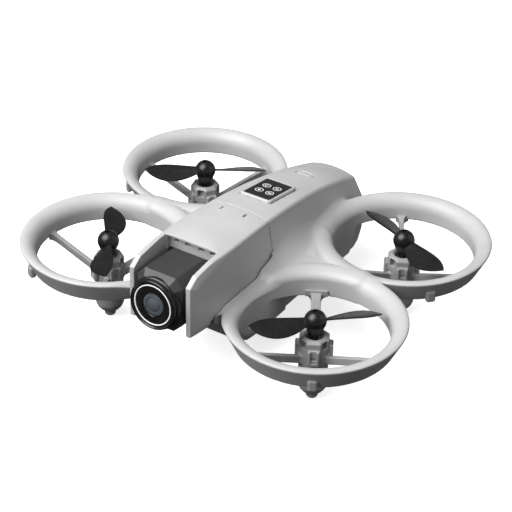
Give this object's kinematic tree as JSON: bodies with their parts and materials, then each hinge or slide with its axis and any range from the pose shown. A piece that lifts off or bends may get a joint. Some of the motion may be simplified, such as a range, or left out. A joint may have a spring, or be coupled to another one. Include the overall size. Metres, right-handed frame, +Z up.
{
  "type": "fpv racing drone",
  "caption": "Small ducted quadcopter with a low body, ring guards round four two-blade propellers, and a tilting nose camera under an open hood.",
  "frame": {"origin": "on the ground under the middle of the drone", "axes": "+Z up, -Y to the nose, +X to starboard, across the ducts"},
  "size_m": [0.2008, 0.1718, 0.0705],
  "materials": {
    "shell_plastic": "fine satin moulded, light grey",
    "pod_plastic": "satin moulded, light grey",
    "motor_metal": "satin can",
    "propeller_black": "semi-gloss moulded, black",
    "steel": "bright",
    "panel_gloss": "high gloss black window",
    "circuit_board": "solder mask",
    "inner_plastic": "matt moulded, dark grey",
    "battery_grey": "satin moulded, mid grey",
    "camera_grey": "satin, dark grey",
    "lens_black": "fine satin black",
    "white_trim": "printed white ring",
    "lens_glass": "coated glass"
  },
  "bodies": {
    "airframe": {"upper_shell": "shell_plastic", "front_hood": "shell_plastic", "belly_tub": "shell_plastic", "shoulder_right": "shell_plastic", "shoulder_left": "shell_plastic", "panel_frame": "shell_plastic", "ring_front_right": "shell_plastic", "duct_frame_front_right": "shell_plastic", "ring_clip_front_right": "shell_plastic", "motor_cap_front_right": "pod_plastic", "landing_foot_front_right": "pod_plastic", "motor_front_right": "motor_metal", "ring_front_left": "shell_plastic", "duct_frame_front_left": "shell_plastic", "ring_clip_front_left": "shell_plastic", "motor_cap_front_left": "pod_plastic", "landing_foot_front_left": "pod_plastic", "motor_front_left": "motor_metal", "ring_rear_right": "shell_plastic", "duct_frame_rear_right": "shell_plastic", "ring_clip_rear_right": "shell_plastic", "motor_cap_rear_right": "pod_plastic", "landing_foot_rear_right": "pod_plastic", "motor_rear_right": "motor_metal", "ring_rear_left": "shell_plastic", "duct_frame_rear_left": "shell_plastic", "ring_clip_rear_left": "shell_plastic", "motor_cap_rear_left": "pod_plastic", "landing_foot_rear_left": "pod_plastic", "motor_rear_left": "motor_metal", "status_panel": "panel_gloss", "flight_board": "circuit_board", "status_lights": "circuit_board", "button_switch": "circuit_board", "board_posts": "inner_plastic", "battery_contacts": "inner_plastic", "battery_bay_roof": "inner_plastic", "camera_cradle": "inner_plastic", "flow_camera": "inner_plastic", "belly_screws": "steel"},
    "rotor_front_right": {"propeller_front_right": "propeller_black", "motor_shaft_front_right": "steel"},
    "rotor_front_left": {"propeller_front_left": "propeller_black", "motor_shaft_front_left": "steel"},
    "rotor_rear_right": {"propeller_rear_right": "propeller_black", "motor_shaft_rear_right": "steel"},
    "rotor_rear_left": {"propeller_rear_left": "propeller_black", "motor_shaft_rear_left": "steel"},
    "camera_unit": {"camera_housing": "camera_grey", "camera_trunnions": "steel", "lens_barrel": "lens_black", "lens_trim_ring": "white_trim", "lens_cone": "lens_black", "lens_glass": "lens_glass", "lens_stack": "lens_black", "sensor_board": "circuit_board"},
    "battery": {"battery_pack": "battery_grey"},
    "button": {"power_button": "shell_plastic"}
  },
  "joints": [
    {"name": "spin_front_right", "type": "hinge", "parent": "airframe", "child": "rotor_front_right", "pos_m": [0.058, -0.0384, 0.042], "axis": [0, 0, 1], "continuous": true},
    {"name": "spin_front_left", "type": "hinge", "parent": "airframe", "child": "rotor_front_left", "pos_m": [-0.058, -0.0384, 0.042], "axis": [0, 0, 1], "continuous": true},
    {"name": "spin_rear_right", "type": "hinge", "parent": "airframe", "child": "rotor_rear_right", "pos_m": [0.058, 0.0435, 0.042], "axis": [0, 0, 1], "continuous": true},
    {"name": "spin_rear_left", "type": "hinge", "parent": "airframe", "child": "rotor_rear_left", "pos_m": [-0.058, 0.0435, 0.042], "axis": [0, 0, 1], "continuous": true},
    {"name": "camera_tilt", "type": "hinge", "parent": "airframe", "child": "camera_unit", "pos_m": [0, -0.062, 0.0507], "axis": [-1, 0, 0], "range_deg": [-10, 45]},
    {"name": "battery_slide", "type": "slide", "parent": "airframe", "child": "battery", "axis": [0, 1, 0], "range_m": [0, 0.062]},
    {"name": "power_button_press", "type": "slide", "parent": "airframe", "child": "button", "axis": [0, -0.2711, -0.9626], "range_m": [0, 0.0007], "stiffness_N_per_m": 400, "springref_m": -0.0012}
  ]
}
